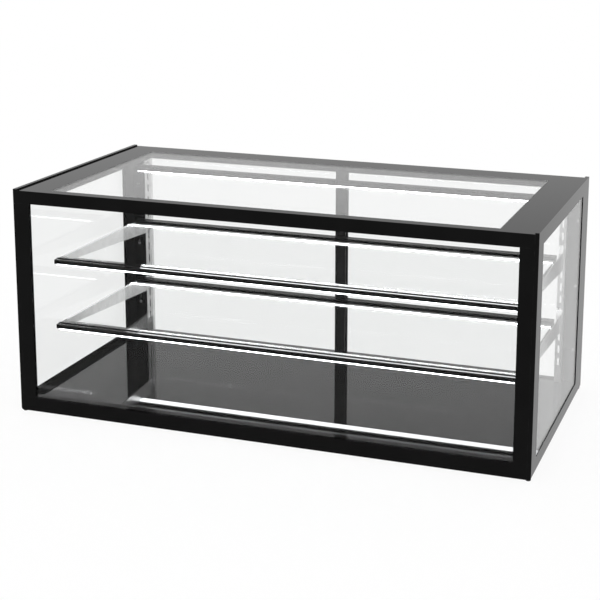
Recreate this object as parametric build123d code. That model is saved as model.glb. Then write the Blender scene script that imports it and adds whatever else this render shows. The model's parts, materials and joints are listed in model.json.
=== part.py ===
"""Countertop bakery display case with glass on five sides, two lit shelves and sliding rear doors.

Millimetres. +X to the customer's right, +Y from the customer to the server, +Z up. The origin is at
the centre of the footprint, on the surface that the feet stand on. Heights inside the functions are
measured from the bottom edge of the case; every solid is lifted by FOOT_HEIGHT when it is written.
"""

from build123d import *
import os

os.makedirs("parts", exist_ok=True)

# Driving dimensions of the case
CASE_WIDTH = 1219.2
CASE_DEPTH = 609.6
CASE_HEIGHT = 533.4
FOOT_HEIGHT = 3.0
FOOT_RADIUS = 6.0

HALF_W = CASE_WIDTH / 2
HALF_D = CASE_DEPTH / 2

# Frame sections
END_THICK = 9.0
END_LIP = 1.5
STILE_FACE = 40.0
BOTTOM_RAIL = 34.0
TOP_RAIL = 33.0
RAIL_DEPTH = 26.0
STILE_DEPTH = 10.0
END_FRONT_STILE = 49.8
END_REAR_STILE = 77.8
REAR_DEPTH = 25.0
PANEL_DROP = 3.0
EDGE_ROUND = 5.5

INNER_W = HALF_W - END_THICK
OPEN_W = HALF_W - STILE_FACE
OPEN_LOW = BOTTOM_RAIL
OPEN_HIGH = CASE_HEIGHT - TOP_RAIL
PANEL_TOP = CASE_HEIGHT - PANEL_DROP
FRONT_INNER = -HALF_D + RAIL_DEPTH
REAR_INNER = HALF_D - REAR_DEPTH

# Glass
GLASS = 6.0
GLASS_BITE = 10.0
END_BITE = 8.0
GLASS_PLAY = 0.5
GROOVE_PLAY = 0.15
FRONT_SKIN = 1.2
DOOR_GLASS = 5.0

# Top panel
BORDER_SIDE = 85.6
BORDER_REAR = 68.5
BORDER_THICK = 6.0
LEDGE_WIDTH = 3.0
LEDGE_DROP = 12.7

# Deck and base
DECK_TOP = 18.0
DECK_THICK = 4.0
PAN_THICK = 1.0
BATTEN_WIDTH = 20.0

# Shelf supports
SLOT_PITCH = 31.75
SLOT_HEIGHT = 19.0
SLOT_WIDTH = 4.0
SLOT_COUNT = 14
STANDARD_X = 553.3
STANDARD_WIDTH = 17.0
STANDARD_DEPTH = 11.8
STANDARD_WALL = 1.5
BRACKET_THICK = 3.0
BRACKET_REAR = 53.5
BRACKET_NOSE = 23.5
HOOK_HEIGHT = 15.0

# Shelves
SHELF_HALF = 556.0
SHELF_FRONT = -222.0
LOWER_TOP = 197.0
UPPER_TOP = LOWER_TOP + 5 * SLOT_PITCH
END_CAP = 4.0
FRONT_RAIL = 15.5
FRONT_RAIL_DEPTH = 36.0
FRONT_STEP_DEPTH = 12.5
FRONT_STEP_DROP = 5.3
FRONT_LIP = 3.0
REAR_RAIL = 12.0
REAR_RAIL_HALF = 550.5
REAR_RAIL_FRONT = 186.0
REAR_RAIL_DEPTH = 25.0
SHELF_GROOVE = 12.0
GLASS_BELOW_TOP = 3.5
STRIP_HALF = 550.0
FRONT_STRIP = 3.0
REAR_STRIP = 3.5
LIGHT_CHANNEL = 4.0

# Light bar under the top panel
BAR_FRONT = 206.0
BAR_DEPTH = 20.0
BAR_LOW = 480.8
BAR_HIGH = 493.5
BAR_STRIP = 2.5

# Sliding doors
TRACK_FRONT = 282.1
TRACK_WIDTH = 8.8
TRACK_GAP = 1.7
REAR_SILL = 19.0
TRACK_FLOOR = 9.0
TRACK_ROOF = 518.0
DOOR_THICK = 8.0
DOOR_LOW = 12.0
DOOR_HIGH = 512.0
DOOR_PLAY = 0.5
MEETING_STILE = 27.0
PULL_CHANNEL = 12.0
LEFT_DOOR_EDGE = -2.0
RIGHT_DOOR_EDGE = -27.0
GLIDE_LENGTH = 40.0

# Switch and inlet
SWITCH_X = 585.0
SWITCH_Z = 262.0
SWITCH_TILT = 7.0
SWITCH_PIVOT_Y = HALF_D - 6.5
INLET_X = 585.0
INLET_Z = 110.0
INLET_RADIUS = 6.5
INLET_FRONT = HALF_D - 12.0


def block(x_low, x_high, y_low, y_high, z_low, z_high):
    """A box between two corners."""
    size = (x_high - x_low, y_high - y_low, z_high - z_low)
    middle = ((x_low + x_high) / 2, (y_low + y_high) / 2, (z_low + z_high) / 2)
    return Pos(*middle) * Box(*size)


def side_block(side, x_near, x_far, y_low, y_high, z_low, z_high):
    """A box on the left (side -1) or right (side 1), between two distances from the middle plane."""
    x_low, x_high = sorted((side * x_near, side * x_far))
    return block(x_low, x_high, y_low, y_high, z_low, z_high)


def profile_x(points, x_low, x_high):
    """A prism along X whose outline is given as (y, z) points."""
    face = make_face(Polyline(*[(x_low, y, z) for y, z in points], close=True))
    return extrude(face, amount=x_high - x_low, dir=(1, 0, 0))


def group(*solids):
    """Separate pieces that share one node."""
    return Compound(list(solids))


# Front


def front_groove(x_low, x_high, z_low, z_high):
    """The channel that holds the edge of the front glass."""
    front = -HALF_D + FRONT_SKIN
    return block(x_low, x_high, front, front + GLASS + 2 * GROOVE_PLAY, z_low, z_high)


def front_top_rail():
    bar = block(-INNER_W, INNER_W, -HALF_D, FRONT_INNER, OPEN_HIGH, PANEL_TOP)
    reach = OPEN_W + GLASS_BITE
    return bar - front_groove(-reach, reach, OPEN_HIGH, OPEN_HIGH + GLASS_BITE)


def front_bottom_rail():
    bar = block(-INNER_W, INNER_W, -HALF_D, FRONT_INNER, 0, OPEN_LOW)
    reach = OPEN_W + GLASS_BITE
    return bar - front_groove(-reach, reach, OPEN_LOW - GLASS_BITE, OPEN_LOW)


def front_stile(side):
    bar = side_block(side, OPEN_W, INNER_W, -HALF_D, -HALF_D + STILE_DEPTH, OPEN_LOW, OPEN_HIGH)
    x_low, x_high = sorted((side * OPEN_W, side * (OPEN_W + GLASS_BITE)))
    return bar - front_groove(x_low, x_high, OPEN_LOW, OPEN_HIGH)


def front_glass():
    reach = OPEN_W + GLASS_BITE - GLASS_PLAY
    front = -HALF_D + FRONT_SKIN + GROOVE_PLAY
    low = OPEN_LOW - GLASS_BITE + GLASS_PLAY
    high = OPEN_HIGH + GLASS_BITE - GLASS_PLAY
    return block(-reach, reach, front, front + GLASS, low, high)


# Ends

END_OPEN_FRONT = -HALF_D + END_FRONT_STILE
END_OPEN_REAR = HALF_D - END_REAR_STILE


def end_rebate(side):
    """The step behind the lip of an end frame, in which the end glass sits."""
    return side_block(
        side, INNER_W, HALF_W - END_LIP,
        END_OPEN_FRONT - END_BITE, END_OPEN_REAR + END_BITE,
        OPEN_LOW - END_BITE, OPEN_HIGH + END_BITE,
    )


def end_top_rail(side):
    bar = side_block(side, INNER_W, HALF_W, -HALF_D, HALF_D, OPEN_HIGH, CASE_HEIGHT)
    return bar - end_rebate(side)


def end_bottom_rail(side):
    bar = side_block(side, INNER_W, HALF_W, -HALF_D, HALF_D, 0, OPEN_LOW)
    outer = bar.edges().filter_by(Axis.Y).group_by(Axis.Z)[0].sort_by(Axis.X)
    edge = outer[-1] if side > 0 else outer[0]
    return fillet(edge, EDGE_ROUND) - end_rebate(side)


def end_stile(side, y_low, y_high):
    bar = side_block(side, INNER_W, HALF_W, y_low, y_high, OPEN_LOW, OPEN_HIGH)
    return bar - end_rebate(side)


def end_glass(side):
    return side_block(
        side, HALF_W - END_LIP - GLASS, HALF_W - END_LIP,
        END_OPEN_FRONT - END_BITE + GLASS_PLAY, END_OPEN_REAR + END_BITE - GLASS_PLAY,
        OPEN_LOW - END_BITE + GLASS_PLAY, OPEN_HIGH + END_BITE - GLASS_PLAY,
    )


# Rear frame and its door tracks


def track_grooves(z_low, z_high):
    """The inner and the outer door groove."""
    second = TRACK_FRONT + TRACK_WIDTH + TRACK_GAP
    return [
        block(-OPEN_W, OPEN_W, front, front + TRACK_WIDTH, z_low, z_high)
        for front in (TRACK_FRONT, second)
    ]


def rear_top_track():
    roof = PANEL_TOP - BORDER_THICK
    bar = block(-INNER_W, INNER_W, REAR_INNER, HALF_D, OPEN_HIGH, roof)
    return bar - track_grooves(OPEN_HIGH, TRACK_ROOF)


def inlet_hole(radius, y_low):
    """A round recess from the rear face at the inlet's place."""
    depth = HALF_D - y_low
    return Pos(INLET_X, y_low + depth / 2, INLET_Z) * Rot(90, 0, 0) * Cylinder(radius, depth)


def rear_bottom_track():
    bar = block(-INNER_W, INNER_W, REAR_INNER, HALF_D, 0, REAR_SILL)
    return bar - track_grooves(TRACK_FLOOR, REAR_SILL)


def power_inlet():
    """A 12 V round jack: sleeve, socket and centre pin."""
    sleeve = inlet_hole(INLET_RADIUS, INLET_FRONT) - inlet_hole(2.75, HALF_D - 9.0)
    pin = Pos(INLET_X, HALF_D - 6.0, INLET_Z) * Rot(90, 0, 0) * Cylinder(1.05, 8.0)
    return sleeve + pin


# Screws in the rear jambs: countersunk heads flush with the rear face
JAMB_SCREW_X = 585.0
JAMB_SCREW_HEIGHTS = (60.0, 160.0, 375.0, 475.0)
HEAD_RADIUS = 3.8
HEAD_DEPTH = 2.2
SHANK_RADIUS = 2.0
SCREW_LENGTH = 14.0


def jamb_screw(side, height):
    head = Cone(SHANK_RADIUS, HEAD_RADIUS, HEAD_DEPTH)
    shank_length = SCREW_LENGTH - HEAD_DEPTH
    shank = Pos(0, 0, -(HEAD_DEPTH + shank_length) / 2) * Cylinder(SHANK_RADIUS, shank_length)
    screw = head + shank
    return Pos(side * JAMB_SCREW_X, HALF_D - HEAD_DEPTH / 2, height) * Rot(-90, 0, 0) * screw


def cross_recess(side, height):
    """The driver's cross in a screw head."""
    arms = Box(4.4, 1.0, 1.2) + Box(1.0, 4.4, 1.2)
    return Pos(side * JAMB_SCREW_X, HALF_D - 0.5, height) * Rot(-90, 0, 0) * arms


def jamb_screws():
    return group(*[
        jamb_screw(side, height) - cross_recess(side, height)
        for side in (-1, 1)
        for height in JAMB_SCREW_HEIGHTS
    ])


BEZEL_HALF_X = 9.5
BEZEL_HALF_Z = 15.0
BEZEL_DEPTH = 14.0
ROCKER_HALF_X = 6.5
ROCKER_HALF_Z = 11.0


def rear_jamb(side):
    bar = side_block(side, OPEN_W, INNER_W, REAR_INNER, HALF_D, REAR_SILL, OPEN_HIGH)
    for height in JAMB_SCREW_HEIGHTS:
        bar = bar - jamb_screw(side, height)
    if side > 0:
        bar = bar - block(
            SWITCH_X - BEZEL_HALF_X, SWITCH_X + BEZEL_HALF_X, HALF_D - BEZEL_DEPTH, HALF_D,
            SWITCH_Z - BEZEL_HALF_Z, SWITCH_Z + BEZEL_HALF_Z,
        ) - inlet_hole(INLET_RADIUS, INLET_FRONT)
    return bar


def switch_bezel():
    """The cup of the light switch, flush with the rear face."""
    outer = block(
        SWITCH_X - BEZEL_HALF_X, SWITCH_X + BEZEL_HALF_X, HALF_D - BEZEL_DEPTH, HALF_D,
        SWITCH_Z - BEZEL_HALF_Z, SWITCH_Z + BEZEL_HALF_Z,
    )
    room = 0.5
    well = block(
        SWITCH_X - ROCKER_HALF_X - room, SWITCH_X + ROCKER_HALF_X + room, HALF_D - 12.0, HALF_D,
        SWITCH_Z - ROCKER_HALF_Z - room, SWITCH_Z + ROCKER_HALF_Z + room,
    )
    return outer - well


def switch_rocker():
    """The rocker, drawn level on its pivot and then tipped to its off position."""
    face_y = 4.6
    points = [
        (-5.0, -4.0), (face_y - 1.2, -ROCKER_HALF_Z), (face_y, -ROCKER_HALF_Z + 0.6),
        (face_y - 1.1, 0.0), (face_y, ROCKER_HALF_Z - 0.6), (face_y - 1.2, ROCKER_HALF_Z),
        (-5.0, 4.0),
    ]
    level = profile_x(points, -ROCKER_HALF_X, ROCKER_HALF_X)
    return Pos(SWITCH_X, SWITCH_PIVOT_Y, SWITCH_Z) * Rot(-SWITCH_TILT, 0, 0) * level


# Top panel

WINDOW_HALF = HALF_W - BORDER_SIDE
WINDOW_REAR = HALF_D - BORDER_REAR
BORDER_LOW = PANEL_TOP - BORDER_THICK


def top_side_border(side):
    sheet = side_block(side, WINDOW_HALF, INNER_W, FRONT_INNER, HALF_D, BORDER_LOW, PANEL_TOP)
    ledge = side_block(
        side, WINDOW_HALF - LEDGE_WIDTH, WINDOW_HALF + LEDGE_WIDTH, FRONT_INNER, WINDOW_REAR,
        BORDER_LOW - LEDGE_DROP, BORDER_LOW,
    )
    return sheet + ledge


def top_rear_border():
    sheet = block(-WINDOW_HALF, WINDOW_HALF, WINDOW_REAR, HALF_D, BORDER_LOW, PANEL_TOP)
    reach = WINDOW_HALF - LEDGE_WIDTH
    ledge = block(
        -reach, reach, WINDOW_REAR - LEDGE_WIDTH, WINDOW_REAR + LEDGE_WIDTH,
        BORDER_LOW - LEDGE_DROP, BORDER_LOW,
    )
    return sheet + ledge


def top_glass():
    return block(-WINDOW_HALF, WINDOW_HALF, FRONT_INNER, WINDOW_REAR, PANEL_TOP - GLASS, PANEL_TOP)


# Deck, base and feet


def deck_panel():
    return block(-INNER_W, INNER_W, FRONT_INNER, REAR_INNER, DECK_TOP - DECK_THICK, DECK_TOP)


def base_pan():
    return block(-INNER_W, INNER_W, FRONT_INNER, REAR_INNER, 0, PAN_THICK)


def deck_battens():
    half = BATTEN_WIDTH / 2
    top = DECK_TOP - DECK_THICK
    return group(*[
        block(x - half, x + half, FRONT_INNER + 5, REAR_INNER - 5, PAN_THICK, top)
        for x in (-560.0, -190.0, 190.0, 560.0)
    ])


def junction_box():
    """Where the feed from the inlet and the switch splits to the light strips."""
    return block(430.0, 510.0, 225.0, 262.0, PAN_THICK, PAN_THICK + 11.0)


def feet():
    inset = FOOT_RADIUS + 1.0
    pads = []
    for x in (-HALF_W + inset, HALF_W - inset):
        for y in (-HALF_D + inset, HALF_D - inset):
            pad = Cone(FOOT_RADIUS - 1.0, FOOT_RADIUS, FOOT_HEIGHT)
            pads.append(Pos(x, y, -FOOT_HEIGHT / 2) * pad)
    return group(*pads)


# Slotted standards

STANDARD_NEAR = STANDARD_X - STANDARD_WIDTH / 2
STANDARD_FAR = STANDARD_X + STANDARD_WIDTH / 2
STANDARD_FRONT = REAR_INNER - STANDARD_DEPTH
HOOK_BELOW_TOP = 30.0
FIRST_SLOT = LOWER_TOP - HOOK_BELOW_TOP - 3 * SLOT_PITCH
FRAME_SCREW_X = 587.0
FRAME_SCREW_HEIGHTS = (102.0, 265.0, 428.0)


def standard(side):
    """A slotted channel that stands on the deck, with its back against the rear frame."""
    channel = side_block(
        side, STANDARD_NEAR, STANDARD_FAR, STANDARD_FRONT, REAR_INNER, DECK_TOP, OPEN_HIGH,
    )
    body = channel - side_block(
        side, STANDARD_NEAR + STANDARD_WALL, STANDARD_FAR - STANDARD_WALL,
        STANDARD_FRONT + STANDARD_WALL, REAR_INNER, DECK_TOP, OPEN_HIGH,
    )
    for number in range(SLOT_COUNT):
        middle = FIRST_SLOT + number * SLOT_PITCH
        body = body - side_block(
            side, STANDARD_X - SLOT_WIDTH / 2, STANDARD_X + SLOT_WIDTH / 2,
            STANDARD_FRONT - 1, STANDARD_FRONT + STANDARD_WALL + 1,
            middle - SLOT_HEIGHT / 2, middle + SLOT_HEIGHT / 2,
        )
    return body


def frame_screws():
    """Low round heads on the front face of the rear jambs."""
    head_height = 2.0
    head_y = REAR_INNER - head_height / 2
    return group(*[
        Pos(side * FRAME_SCREW_X, head_y, height) * Rot(90, 0, 0) * Cone(4.0, 2.6, head_height)
        for side in (-1, 1)
        for height in FRAME_SCREW_HEIGHTS
    ])


# Shelf brackets

BRACKET_FRONT = SHELF_FRONT + 16.0
BRACKET_END = STANDARD_FRONT - 2.0
BRACKET_NEAR = STANDARD_X - BRACKET_THICK / 2
BRACKET_FAR = STANDARD_X + BRACKET_THICK / 2


def bracket(side, shelf_top):
    """A tapered arm under the glass, with its nose under the front rail and a hook in one slot."""
    nose_high = shelf_top - FRONT_RAIL
    arm_high = shelf_top - GLASS_BELOW_TOP - GLASS
    step = SHELF_FRONT + FRONT_RAIL_DEPTH + 0.5
    outline = [
        (BRACKET_FRONT, nose_high), (step, nose_high), (step, arm_high),
        (BRACKET_END, arm_high), (BRACKET_END, shelf_top - BRACKET_REAR),
        (BRACKET_FRONT, shelf_top - BRACKET_NOSE),
    ]
    x_low, x_high = sorted((side * BRACKET_NEAR, side * BRACKET_FAR))
    low = shelf_top - HOOK_BELOW_TOP - HOOK_HEIGHT / 2
    hook = side_block(
        side, BRACKET_NEAR, BRACKET_FAR, BRACKET_END, STANDARD_FRONT + 5.0, low, low + HOOK_HEIGHT,
    )
    return profile_x(outline, x_low, x_high) + hook


def shelf_brackets():
    return group(*[
        bracket(side, shelf_top) for shelf_top in (LOWER_TOP, UPPER_TOP) for side in (-1, 1)
    ])


# Shelves


def front_rail_section(shelf_top, x_low, x_high):
    """A stepped nosing with a lip in front of the glass and a ledge under it."""
    step_rear = SHELF_FRONT + FRONT_STEP_DEPTH
    lip_rear = step_rear + FRONT_LIP
    ledge_rear = SHELF_FRONT + FRONT_RAIL_DEPTH
    low = shelf_top - FRONT_RAIL
    lip = shelf_top - GLASS_BELOW_TOP
    step = shelf_top - FRONT_STEP_DROP
    ledge = shelf_top - GLASS_BELOW_TOP - GLASS - GROOVE_PLAY
    outline = [
        (SHELF_FRONT, low), (ledge_rear, low), (ledge_rear, ledge), (lip_rear, ledge),
        (lip_rear, lip), (step_rear, lip), (step_rear, step), (SHELF_FRONT, step),
    ]
    return profile_x(outline, x_low, x_high)


def shelf_front_rail(shelf_top):
    half = SHELF_HALF - END_CAP
    return front_rail_section(shelf_top, -half, half)


def shelf_end_caps():
    """Closed ends of both front rails."""
    half = SHELF_HALF - END_CAP
    return group(*[
        front_rail_section(shelf_top, *sorted((side * half, side * SHELF_HALF)))
        for shelf_top in (LOWER_TOP, UPPER_TOP)
        for side in (-1, 1)
    ])


def shelf_rear_rail(shelf_top):
    rear = REAR_RAIL_FRONT + REAR_RAIL_DEPTH
    half = REAR_RAIL_HALF
    bar = block(-half, half, REAR_RAIL_FRONT, rear, shelf_top - REAR_RAIL, shelf_top)
    high = shelf_top - GLASS_BELOW_TOP + GROOVE_PLAY
    low = high - GLASS - 2 * GROOVE_PLAY
    return bar - block(-half, half, REAR_RAIL_FRONT, REAR_RAIL_FRONT + SHELF_GROOVE, low, high)


def shelf_glass(shelf_top):
    half = SHELF_HALF - END_CAP - 0.5
    front = SHELF_FRONT + FRONT_STEP_DEPTH + FRONT_LIP + 0.5
    rear = REAR_RAIL_FRONT + SHELF_GROOVE - 1.0
    high = shelf_top - GLASS_BELOW_TOP
    return block(-half, half, front, rear, high - GLASS, high)


def shelf_front_light(shelf_top):
    high = shelf_top - FRONT_RAIL
    front = SHELF_FRONT + 2.0
    return block(-STRIP_HALF, STRIP_HALF, front, front + 7.0, high - FRONT_STRIP, high)


def rear_light_channel(shelf_top):
    """The shallow channel under a rear rail that the light strip is glued in."""
    high = shelf_top - REAR_RAIL
    front = REAR_RAIL_FRONT + 0.5
    return block(-STRIP_HALF, STRIP_HALF, front, front + 20.0, high - LIGHT_CHANNEL, high)


def shelf_light_channels():
    return group(rear_light_channel(LOWER_TOP), rear_light_channel(UPPER_TOP))


def shelf_rear_light(shelf_top):
    high = shelf_top - REAR_RAIL - LIGHT_CHANNEL
    front = REAR_RAIL_FRONT + 1.0
    return block(-STRIP_HALF, STRIP_HALF, front, front + 18.0, high - REAR_STRIP, high)


# Light bar

def light_bar_housing():
    outer = block(-SHELF_HALF, SHELF_HALF, BAR_FRONT, BAR_FRONT + BAR_DEPTH, BAR_LOW, BAR_HIGH)
    wall = 1.5
    hollow = block(
        -SHELF_HALF, SHELF_HALF, BAR_FRONT + wall, BAR_FRONT + BAR_DEPTH - wall,
        BAR_LOW + wall, BAR_HIGH - wall,
    )
    return outer - hollow


def light_bar_diffuser():
    return block(
        -STRIP_HALF, STRIP_HALF, BAR_FRONT + 0.5, BAR_FRONT + BAR_DEPTH - 0.5,
        BAR_LOW - BAR_STRIP, BAR_LOW,
    )


def light_bar_arms():
    """A plate at each end from the light bar back to a standard."""
    rear = BAR_FRONT + BAR_DEPTH
    return group(*[
        side_block(
            side, BRACKET_NEAR, BRACKET_FAR, rear, STANDARD_FRONT, BAR_LOW + 2, BAR_HIGH - 2,
        )
        for side in (-1, 1)
    ])


# Sliding doors

TRACK_STEP = TRACK_WIDTH + TRACK_GAP
LEFT_DOOR_FRONT = TRACK_FRONT + (TRACK_WIDTH - DOOR_THICK) / 2
RIGHT_DOOR_FRONT = LEFT_DOOR_FRONT + TRACK_STEP
GLASS_INSET = (DOOR_THICK - DOOR_GLASS) / 2
DOOR_END = OPEN_W - DOOR_PLAY
EDGE_BITE = 8.0


def door_glass(x_low, x_high, front):
    """The pane, which reaches into the stile and the pull channel."""
    return block(
        x_low, x_high, front + GLASS_INSET, front + GLASS_INSET + DOOR_GLASS, DOOR_LOW, DOOR_HIGH,
    )


def edge_profile(x_low, x_high, groove_low, groove_high, front):
    """An upright door edge with a groove for the pane."""
    bar = block(x_low, x_high, front, front + DOOR_THICK, DOOR_LOW, DOOR_HIGH)
    return bar - door_glass(groove_low, groove_high, front)


def finger_groove(x_middle, front):
    """A long shallow groove in the rear face of a pull channel."""
    rear = front + DOOR_THICK
    return block(x_middle - 1.5, x_middle + 1.5, rear - 1.2, rear, DOOR_LOW + 60, DOOR_HIGH - 60)


def door_glides(x_low, x_high, front):
    """Nylon shoes under both ends of a door."""
    low = TRACK_FLOOR + 0.3
    return group(
        block(x_low, x_low + GLIDE_LENGTH, front, front + DOOR_THICK, low, DOOR_LOW),
        block(x_high - GLIDE_LENGTH, x_high, front, front + DOOR_THICK, low, DOOR_LOW),
    )


def left_door_glass():
    return door_glass(-DOOR_END + 4.0, LEFT_DOOR_EDGE - 19.0, LEFT_DOOR_FRONT)


def left_door_meeting_stile():
    low = LEFT_DOOR_EDGE - MEETING_STILE
    return edge_profile(low, LEFT_DOOR_EDGE, low, low + EDGE_BITE, LEFT_DOOR_FRONT)


def left_door_pull_channel():
    high = -DOOR_END + PULL_CHANNEL
    bar = edge_profile(-DOOR_END, high, high - EDGE_BITE, high, LEFT_DOOR_FRONT)
    return bar - finger_groove(-DOOR_END + 2.5, LEFT_DOOR_FRONT)


def left_door_glides():
    return door_glides(-DOOR_END, LEFT_DOOR_EDGE, LEFT_DOOR_FRONT)


def right_door_glass():
    return door_glass(RIGHT_DOOR_EDGE + 19.0, DOOR_END - 4.0, RIGHT_DOOR_FRONT)


def right_door_meeting_stile():
    high = RIGHT_DOOR_EDGE + MEETING_STILE
    return edge_profile(RIGHT_DOOR_EDGE, high, high - EDGE_BITE, high, RIGHT_DOOR_FRONT)


def right_door_pull_channel():
    low = DOOR_END - PULL_CHANNEL
    bar = edge_profile(low, DOOR_END, low, low + EDGE_BITE, RIGHT_DOOR_FRONT)
    return bar - finger_groove(DOOR_END - 2.5, RIGHT_DOOR_FRONT)


def right_door_glides():
    return door_glides(RIGHT_DOOR_EDGE, DOOR_END, RIGHT_DOOR_FRONT)


def door_brush_strip():
    """The dust brush on the outer door, which faces the inner door's stile."""
    gap = 0.3
    rear = RIGHT_DOOR_FRONT
    return block(-14.0, -10.0, LEFT_DOOR_FRONT + DOOR_THICK + gap, rear, DOOR_LOW + 10, DOOR_HIGH - 15)


PARTS = {
    "front_top_rail": front_top_rail(),
    "front_bottom_rail": front_bottom_rail(),
    "front_left_stile": front_stile(-1),
    "front_right_stile": front_stile(1),
    "front_glass": front_glass(),
    "rear_top_track": rear_top_track(),
    "rear_bottom_track": rear_bottom_track(),
    "rear_left_jamb": rear_jamb(-1),
    "rear_right_jamb": rear_jamb(1),
    "jamb_screws": jamb_screws(),
    "top_left_border": top_side_border(-1),
    "top_right_border": top_side_border(1),
    "top_rear_border": top_rear_border(),
    "top_glass": top_glass(),
    "deck_panel": deck_panel(),
    "base_pan": base_pan(),
    "deck_battens": deck_battens(),
    "junction_box": junction_box(),
    "power_inlet": power_inlet(),
    "feet": feet(),
    "left_standard": standard(-1),
    "right_standard": standard(1),
    "frame_screws": frame_screws(),
    "light_bar_housing": light_bar_housing(),
    "light_bar_diffuser": light_bar_diffuser(),
    "light_bar_arms": light_bar_arms(),
    "shelf_brackets": shelf_brackets(),
    "shelf_end_caps": shelf_end_caps(),
    "shelf_light_channels": shelf_light_channels(),
    "switch_bezel": switch_bezel(),
    "switch_rocker": switch_rocker(),
    "left_door_glass": left_door_glass(),
    "left_door_meeting_stile": left_door_meeting_stile(),
    "left_door_pull_channel": left_door_pull_channel(),
    "left_door_glides": left_door_glides(),
    "right_door_glass": right_door_glass(),
    "right_door_meeting_stile": right_door_meeting_stile(),
    "right_door_pull_channel": right_door_pull_channel(),
    "right_door_glides": right_door_glides(),
    "door_brush_strip": door_brush_strip(),
}

for name, side in (("left", -1), ("right", 1)):
    PARTS[name + "_end_top_rail"] = end_top_rail(side)
    PARTS[name + "_end_bottom_rail"] = end_bottom_rail(side)
    PARTS[name + "_end_front_stile"] = end_stile(side, -HALF_D, END_OPEN_FRONT)
    PARTS[name + "_end_rear_stile"] = end_stile(side, END_OPEN_REAR, HALF_D)
    PARTS[name + "_end_glass"] = end_glass(side)

for name, shelf_top in (("lower", LOWER_TOP), ("upper", UPPER_TOP)):
    PARTS[name + "_shelf_glass"] = shelf_glass(shelf_top)
    PARTS[name + "_front_rail"] = shelf_front_rail(shelf_top)
    PARTS[name + "_rear_rail"] = shelf_rear_rail(shelf_top)
    PARTS[name + "_front_light"] = shelf_front_light(shelf_top)
    PARTS[name + "_rear_light"] = shelf_rear_light(shelf_top)

for node, shape in PARTS.items():
    export_step(Pos(0, 0, FOOT_HEIGHT) * shape, "parts/" + node + ".step")
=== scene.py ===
import json
import math

import bmesh
import bpy
from mathutils import Matrix

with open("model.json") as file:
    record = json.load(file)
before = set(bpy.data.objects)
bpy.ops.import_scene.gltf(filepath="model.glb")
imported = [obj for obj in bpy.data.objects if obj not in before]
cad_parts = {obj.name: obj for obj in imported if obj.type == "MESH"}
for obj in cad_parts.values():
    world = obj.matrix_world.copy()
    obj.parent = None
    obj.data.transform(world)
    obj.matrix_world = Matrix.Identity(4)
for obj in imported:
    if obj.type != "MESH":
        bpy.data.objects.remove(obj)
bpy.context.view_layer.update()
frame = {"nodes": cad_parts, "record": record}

NODES = frame["nodes"]
SLOT_OF = {row["node"]: row["material_slot"] for row in frame["record"]["subparts"]}
scene = bpy.context.scene


# Materials

# Head-on the black coating reflects about 0.4 percent, which makes it deep from the front and still
# grey at a glancing angle.
BLACK_SPECULAR = 0.047
BLACK_BASE = 0.0040
# The deck is glossier and mirrors the light strips.
DECK_SPECULAR = 0.19
LIGHT_STRENGTH = 12.0
# A coated low-reflection glass: it hardly mirrors the room from the front.
GLASS_INDEX = 1.18


def new_material(name):
    """A node material with its principled shader."""
    material = bpy.data.materials.new(name)
    material.use_nodes = True
    shader = material.node_tree.nodes["Principled BSDF"]
    return material, shader


def add_node(material, kind, **settings):
    node = material.node_tree.nodes.new(kind)
    for key, value in settings.items():
        setattr(node, key, value)
    return node


def link(material, source, target):
    material.node_tree.links.new(source, target)


def noise(material, scale, detail=3.0, stretch=(1.0, 1.0, 1.0), roughness=0.55):
    """Noise in the row frame; scale is cells per metre, and stretch squeezes it along an axis."""
    place = add_node(material, "ShaderNodeTexCoord")
    mapping = add_node(material, "ShaderNodeMapping")
    mapping.inputs["Scale"].default_value = stretch
    texture = add_node(material, "ShaderNodeTexNoise")
    texture.inputs["Scale"].default_value = scale
    texture.inputs["Detail"].default_value = detail
    texture.inputs["Roughness"].default_value = roughness
    link(material, place.outputs["Object"], mapping.inputs["Vector"])
    link(material, mapping.outputs["Vector"], texture.inputs["Vector"])
    return texture.outputs["Fac"]


def spread(material, value, low, high, from_low=0.3, from_high=0.7):
    """value mapped onto low to high."""
    node = add_node(material, "ShaderNodeMapRange")
    node.inputs["From Min"].default_value = from_low
    node.inputs["From Max"].default_value = from_high
    node.inputs["To Min"].default_value = low
    node.inputs["To Max"].default_value = high
    link(material, value, node.inputs["Value"])
    return node.outputs["Result"]


def two_tone(material, value, dark, light):
    """A colour between dark and light, as value goes from 0.3 to 0.7."""
    ramp = add_node(material, "ShaderNodeValToRGB")
    ramp.color_ramp.elements[0].position = 0.3
    ramp.color_ramp.elements[1].position = 0.7
    ramp.color_ramp.elements[0].color = (*dark, 1)
    ramp.color_ramp.elements[1].color = (*light, 1)
    link(material, value, ramp.inputs["Fac"])
    return ramp.outputs["Color"]


def bump(material, shader, height, distance):
    node = add_node(material, "ShaderNodeBump")
    node.inputs["Distance"].default_value = distance
    link(material, height, node.inputs["Height"])
    link(material, node.outputs["Normal"], shader.inputs["Normal"])


def grey(value):
    return (value, value, value)


def edge_wear(material, radius):
    """0 on flat faces, rising to 1 where the shape turns within the radius."""
    shape = add_node(material, "ShaderNodeNewGeometry")
    soft = add_node(material, "ShaderNodeBevel", samples=4)
    soft.inputs["Radius"].default_value = radius
    turn = add_node(material, "ShaderNodeVectorMath", operation="DOT_PRODUCT")
    link(material, shape.outputs["Normal"], turn.inputs[0])
    link(material, soft.outputs["Normal"], turn.inputs[1])
    return spread(material, turn.outputs["Value"], 1.0, 0.0, 0.90, 0.995)


WEAR_RADIUS = 0.0007
WORN_BLACK = (0.05, 0.05, 0.052, 1)
PEEL_DEPTH = 0.000001


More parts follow.
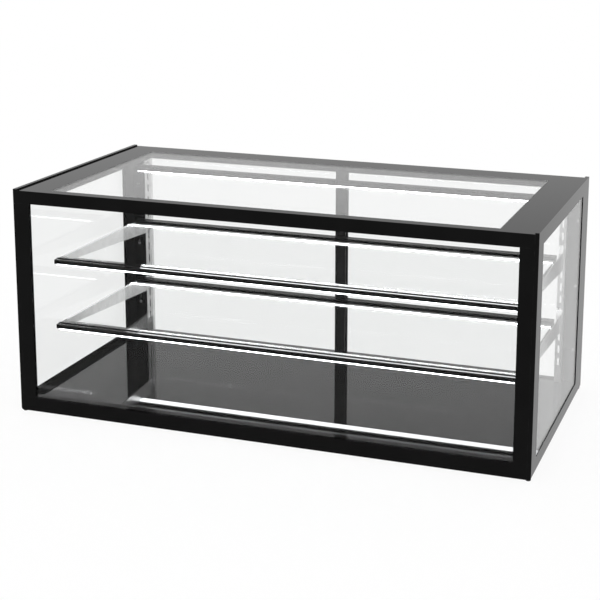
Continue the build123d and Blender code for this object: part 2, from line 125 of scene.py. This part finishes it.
def gloss_black(name, rough=(0.004, 0.014), specular=BLACK_SPECULAR):
    """Gloss black coating: faint orange peel, cloudy sheen, hairline rubs and rubbed edges."""
    material, shader = new_material(name)
    cloud = noise(material, 14.0, 4.0)
    colour = two_tone(material, cloud, grey(BLACK_BASE * 0.85), grey(BLACK_BASE * 1.2))
    worn = add_node(material, "ShaderNodeMix", data_type="RGBA")
    patch = add_node(material, "ShaderNodeMath", operation="MULTIPLY")
    link(material, edge_wear(material, WEAR_RADIUS), patch.inputs[0])
    link(material, spread(material, noise(material, 60.0, 4.0), 0.0, 0.5, 0.45, 0.7), patch.inputs[1])
    link(material, patch.outputs[0], worn.inputs["Factor"])
    link(material, colour, worn.inputs["A"])
    worn.inputs["B"].default_value = WORN_BLACK
    link(material, worn.outputs["Result"], shader.inputs["Base Color"])
    rub = noise(material, 220.0, 5.0, stretch=(1.0, 1.0, 0.15))
    blend = add_node(material, "ShaderNodeMath", operation="MULTIPLY")
    link(material, cloud, blend.inputs[0])
    link(material, rub, blend.inputs[1])
    link(material, spread(material, blend.outputs[0], *rough, 0.12, 0.45), shader.inputs["Roughness"])
    bump(material, shader, noise(material, 700.0, 2.0), PEEL_DEPTH)
    shader.inputs["Specular IOR Level"].default_value = specular
    return material


def clear_glass(name):
    """Clear float glass with the faintest green and a trace of wiping marks."""
    material, shader = new_material(name)
    wipe = noise(material, 9.0, 4.0, stretch=(1.0, 1.0, 2.2))
    colour = two_tone(material, wipe, (0.937, 0.942, 0.940), (0.945, 0.948, 0.947))
    link(material, colour, shader.inputs["Base Color"])
    link(material, spread(material, wipe, 0.0, 0.004), shader.inputs["Roughness"])
    shader.inputs["Transmission Weight"].default_value = 1.0
    shader.inputs["IOR"].default_value = GLASS_INDEX
    return material


def lit_diffuser(name):
    """Opal strip, lit, a little brighter over each lamp."""
    material, shader = new_material(name)
    shader.inputs["Base Color"].default_value = (0.9, 0.9, 0.9, 1)
    place = add_node(material, "ShaderNodeTexCoord")
    wave = add_node(material, "ShaderNodeTexWave")
    wave.inputs["Scale"].default_value = 12.0
    wave.inputs["Distortion"].default_value = 0.4
    link(material, place.outputs["Object"], wave.inputs["Vector"])
    glow = two_tone(material, wave.outputs["Fac"], (0.9, 0.92, 0.95), (1.0, 1.0, 1.0))
    link(material, glow, shader.inputs["Emission Color"])
    link(material, spread(material, noise(material, 90.0), 0.35, 0.55), shader.inputs["Roughness"])
    shader.inputs["Emission Strength"].default_value = LIGHT_STRENGTH
    return material


def metal(name, dark, light, rough, grain=(1.0, 1.0, 0.04), scale=900.0):
    """Metal with grain along the piece and cloudy plating."""
    material, shader = new_material(name)
    shader.inputs["Metallic"].default_value = 1.0
    cloud = noise(material, 45.0, 4.0)
    link(material, two_tone(material, cloud, dark, light), shader.inputs["Base Color"])
    line = noise(material, scale, 3.0, stretch=grain)
    link(material, spread(material, line, *rough), shader.inputs["Roughness"])
    bump(material, shader, line, 0.00001)
    return material


def moulded(name, dark, light, rough):
    """Moulded plastic or rubber with a fine grain."""
    material, shader = new_material(name)
    cloud = noise(material, 60.0, 3.0)
    link(material, two_tone(material, cloud, dark, light), shader.inputs["Base Color"])
    link(material, spread(material, noise(material, 300.0), *rough), shader.inputs["Roughness"])
    bump(material, shader, noise(material, 1800.0, 2.0), 0.00002)
    shader.inputs["Specular IOR Level"].default_value = 0.4
    return material


MATERIALS = {
    "black_frame": gloss_black("black_frame"),
    "shelf_rail_black": gloss_black("shelf_rail_black"),
    "deck_laminate": gloss_black("deck_laminate", rough=(0.002, 0.006), specular=DECK_SPECULAR),
    "clear_glass": clear_glass("clear_glass"),
    "lit_diffuser": lit_diffuser("lit_diffuser"),
    "plated_steel": metal("plated_steel", grey(0.52), grey(0.66), (0.26, 0.36)),
    "light_channel": metal("light_channel", grey(0.5), grey(0.6), (0.3, 0.42)),
    "galvanised": metal("galvanised", grey(0.38), grey(0.55), (0.35, 0.5), (1.0, 1.0, 1.0), 200.0),
    "screw_steel": metal("screw_steel", grey(0.5), grey(0.62), (0.22, 0.34), (1.0, 1.0, 1.0)),
    "rubber_black": moulded("rubber_black", grey(0.012), grey(0.02), (0.6, 0.8)),
    "brush_pile": moulded("brush_pile", grey(0.012), grey(0.03), (0.7, 0.9)),
    "nylon": moulded("nylon", grey(0.7), grey(0.8), (0.35, 0.5)),
    "moulded_black": moulded("moulded_black", grey(0.012), grey(0.022), (0.35, 0.5)),
}


def dress(piece, slot):
    """The slot's material on the whole piece."""
    piece.data.materials.clear()
    piece.data.materials.append(MATERIALS[slot])


for node, piece in NODES.items():
    dress(piece, SLOT_OF[node])


# Stage, light and camera

FLOOR_SIZE = 14.0
FLOOR_GLOW = 0.9


def floor():
    """A white studio floor, bright enough to run into the background."""
    mesh = bmesh.new()
    bmesh.ops.create_grid(mesh, x_segments=1, y_segments=1, size=FLOOR_SIZE / 2)
    data = bpy.data.meshes.new("studio_floor")
    mesh.to_mesh(data)
    mesh.free()
    piece = bpy.data.objects.new("studio_floor", data)
    scene.collection.objects.link(piece)
    material, shader = new_material("studio_floor")
    shader.inputs["Base Color"].default_value = (0.1, 0.1, 0.1, 1)
    shader.inputs["Roughness"].default_value = 1.0
    shader.inputs["Specular IOR Level"].default_value = 0.0
    shader.inputs["Emission Color"].default_value = (1, 1, 1, 1)
    shader.inputs["Emission Strength"].default_value = FLOOR_GLOW
    data.materials.append(material)


def studio_world():
    world = bpy.data.worlds.new("studio")
    world.use_nodes = True
    world.node_tree.nodes["Background"].inputs["Color"].default_value = (1, 1, 1, 1)
    world.node_tree.nodes["Background"].inputs["Strength"].default_value = 1.0
    scene.world = world


CAMERA_PLACE = (1.1387, -3.1022, 1.2282)
CAMERA_AZIMUTH = 19.236
CAMERA_ELEVATION = 11.897
CAMERA_ROLL = 0.292
CAMERA_LENS = 86.156
CAMERA_SHIFT = (-0.0514, -0.1925)


def camera():
    data = bpy.data.cameras.new("camera")
    data.sensor_width = 36.0
    data.lens = CAMERA_LENS
    data.shift_x, data.shift_y = CAMERA_SHIFT
    piece = bpy.data.objects.new("camera", data)
    scene.collection.objects.link(piece)
    turn = Matrix.Rotation(math.radians(CAMERA_AZIMUTH), 4, "Z")
    tip = Matrix.Rotation(math.radians(90.0 - CAMERA_ELEVATION), 4, "X")
    roll = Matrix.Rotation(math.radians(CAMERA_ROLL), 4, "Z")
    piece.matrix_world = Matrix.Translation(CAMERA_PLACE) @ turn @ tip @ roll
    bpy.context.scene.camera = piece


floor()
studio_world()
camera()
scene.view_settings.view_transform = "Standard"
# A ray passes many panes, with two surfaces each.
GLASS_BOUNCES = 24
scene.cycles.max_bounces = GLASS_BOUNCES
scene.cycles.transmission_bounces = GLASS_BOUNCES
scene.cycles.transparent_max_bounces = 16
scene.cycles.glossy_bounces = 12
